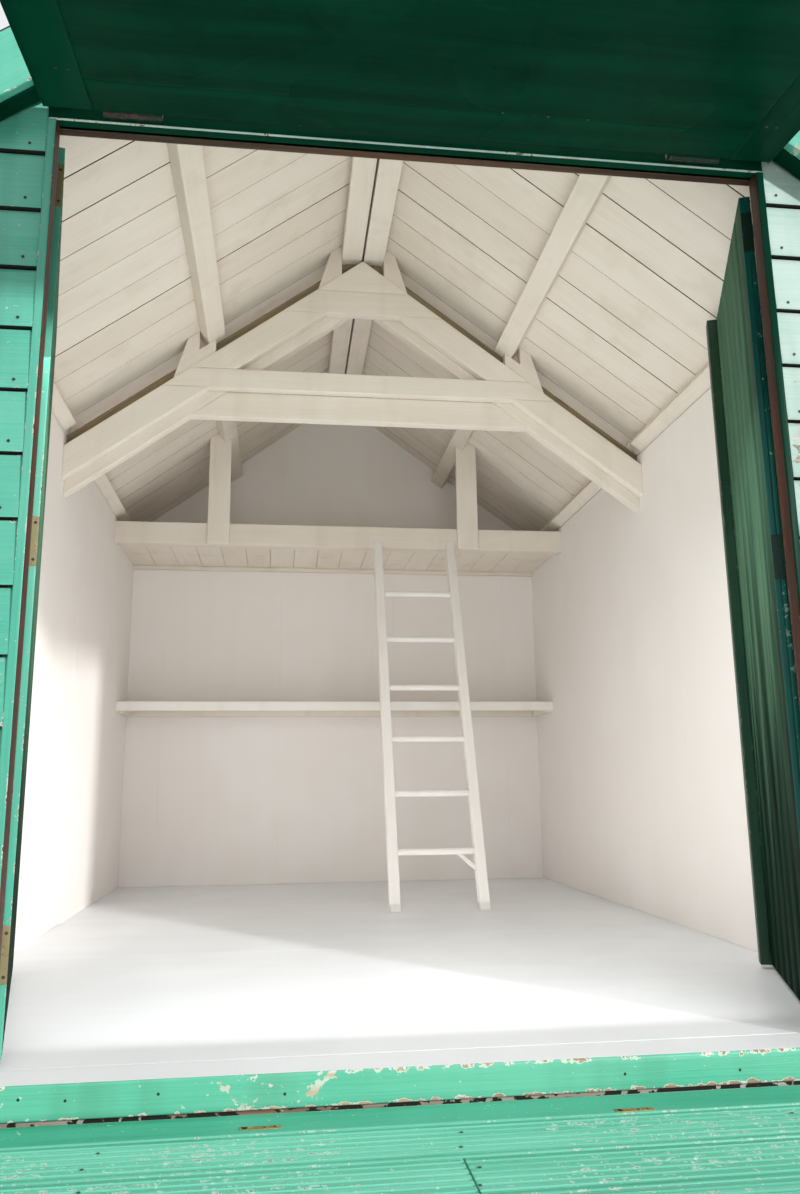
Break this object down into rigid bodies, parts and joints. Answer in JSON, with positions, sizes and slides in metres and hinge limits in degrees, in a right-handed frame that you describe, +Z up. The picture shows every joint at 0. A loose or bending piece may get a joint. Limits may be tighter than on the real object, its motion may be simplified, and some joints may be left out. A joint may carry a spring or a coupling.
{
  "type": "beach hut",
  "caption": "Timber beach hut with inward double doors, a raised shutter flap, a boarded roof on purlins and a truss, a loft with its ladder, and a low deck in front.",
  "frame": {"origin": "ground level under the middle of the hut's walls", "axes": "+X to the right seen from the front, +Y from the doors to the back wall, +Z up"},
  "size_m": [2.58, 4.2081, 2.9151],
  "materials": {
    "green_timber": "sea green gloss paint, chalky and chipped along its edges",
    "dark_green_timber": "dark green gloss paint",
    "teal_timber": "teal gloss paint",
    "reeded_timber": "faded grey-green paint on reeded boards",
    "brown_timber": "brown stained timber, worn",
    "white_timber": "warm white satin paint on boards",
    "floor_timber": "pale painted boards, worn",
    "raw_timber": "weathered bare timber",
    "roof_felt": "mineral roofing felt",
    "hinge_steel": "steel under old green paint"
  },
  "bodies": {
    "hut": {"ground_bearers": "raw_timber", "floor_joists": "raw_timber", "floor_boards": "floor_timber", "door_sill": "green_timber", "front_walls": "white_timber", "front_gable": "white_timber", "door_posts": "brown_timber", "door_head": "dark_green_timber", "door_stops": "green_timber", "side_walls": "white_timber", "back_wall": "white_timber", "front_cladding": "green_timber", "gable_cladding": "green_timber", "side_cladding": "green_timber", "back_cladding": "green_timber", "corner_boards": "green_timber", "fixed_hinges": "hinge_steel", "roof_boards": "white_timber", "roof_felt": "roof_felt", "ridge_cap": "roof_felt", "purlins": "white_timber", "ridge_beams": "white_timber", "barge_boards": "green_timber", "verge_soffits": "dark_green_timber", "eaves_fascias": "green_timber", "truss_rafters": "white_timber", "truss_packers": "brown_timber", "truss_facings": "white_timber", "truss_gussets": "white_timber", "truss_cleats": "white_timber", "loft_frame": "white_timber", "loft_boards": "white_timber", "loft_posts": "white_timber", "ladder_stringers": "white_timber", "ladder_rungs": "white_timber", "back_shelf": "white_timber", "shelf_ledgers": "white_timber", "deck_boards": "green_timber", "deck_joists": "raw_timber"},
    "door_left": {"door_left_frame": "teal_timber", "door_left_boards": "reeded_timber", "door_left_hinges": "hinge_steel"},
    "door_right": {"door_right_frame": "teal_timber", "door_right_boards": "reeded_timber", "door_right_hinges": "hinge_steel", "cover_strip": "dark_green_timber"},
    "flap": {"flap_frame": "dark_green_timber", "flap_boards": "green_timber", "flap_hinges": "hinge_steel"}
  },
  "joints": [
    {"name": "door_left_hinge", "type": "hinge", "parent": "hut", "child": "door_left", "pos_m": [-0.808, -1.5365, 1.2], "axis": [0, 0, -1], "range_deg": [0, 104]},
    {"name": "door_right_hinge", "type": "hinge", "parent": "hut", "child": "door_right", "pos_m": [0.808, -1.5365, 1.2], "axis": [0, 0, 1], "range_deg": [0, 111]},
    {"name": "flap_hinge", "type": "hinge", "parent": "hut", "child": "flap", "pos_m": [0, -1.626, 2.109], "axis": [1, 0, 0], "range_deg": [0, 84]}
  ]
}
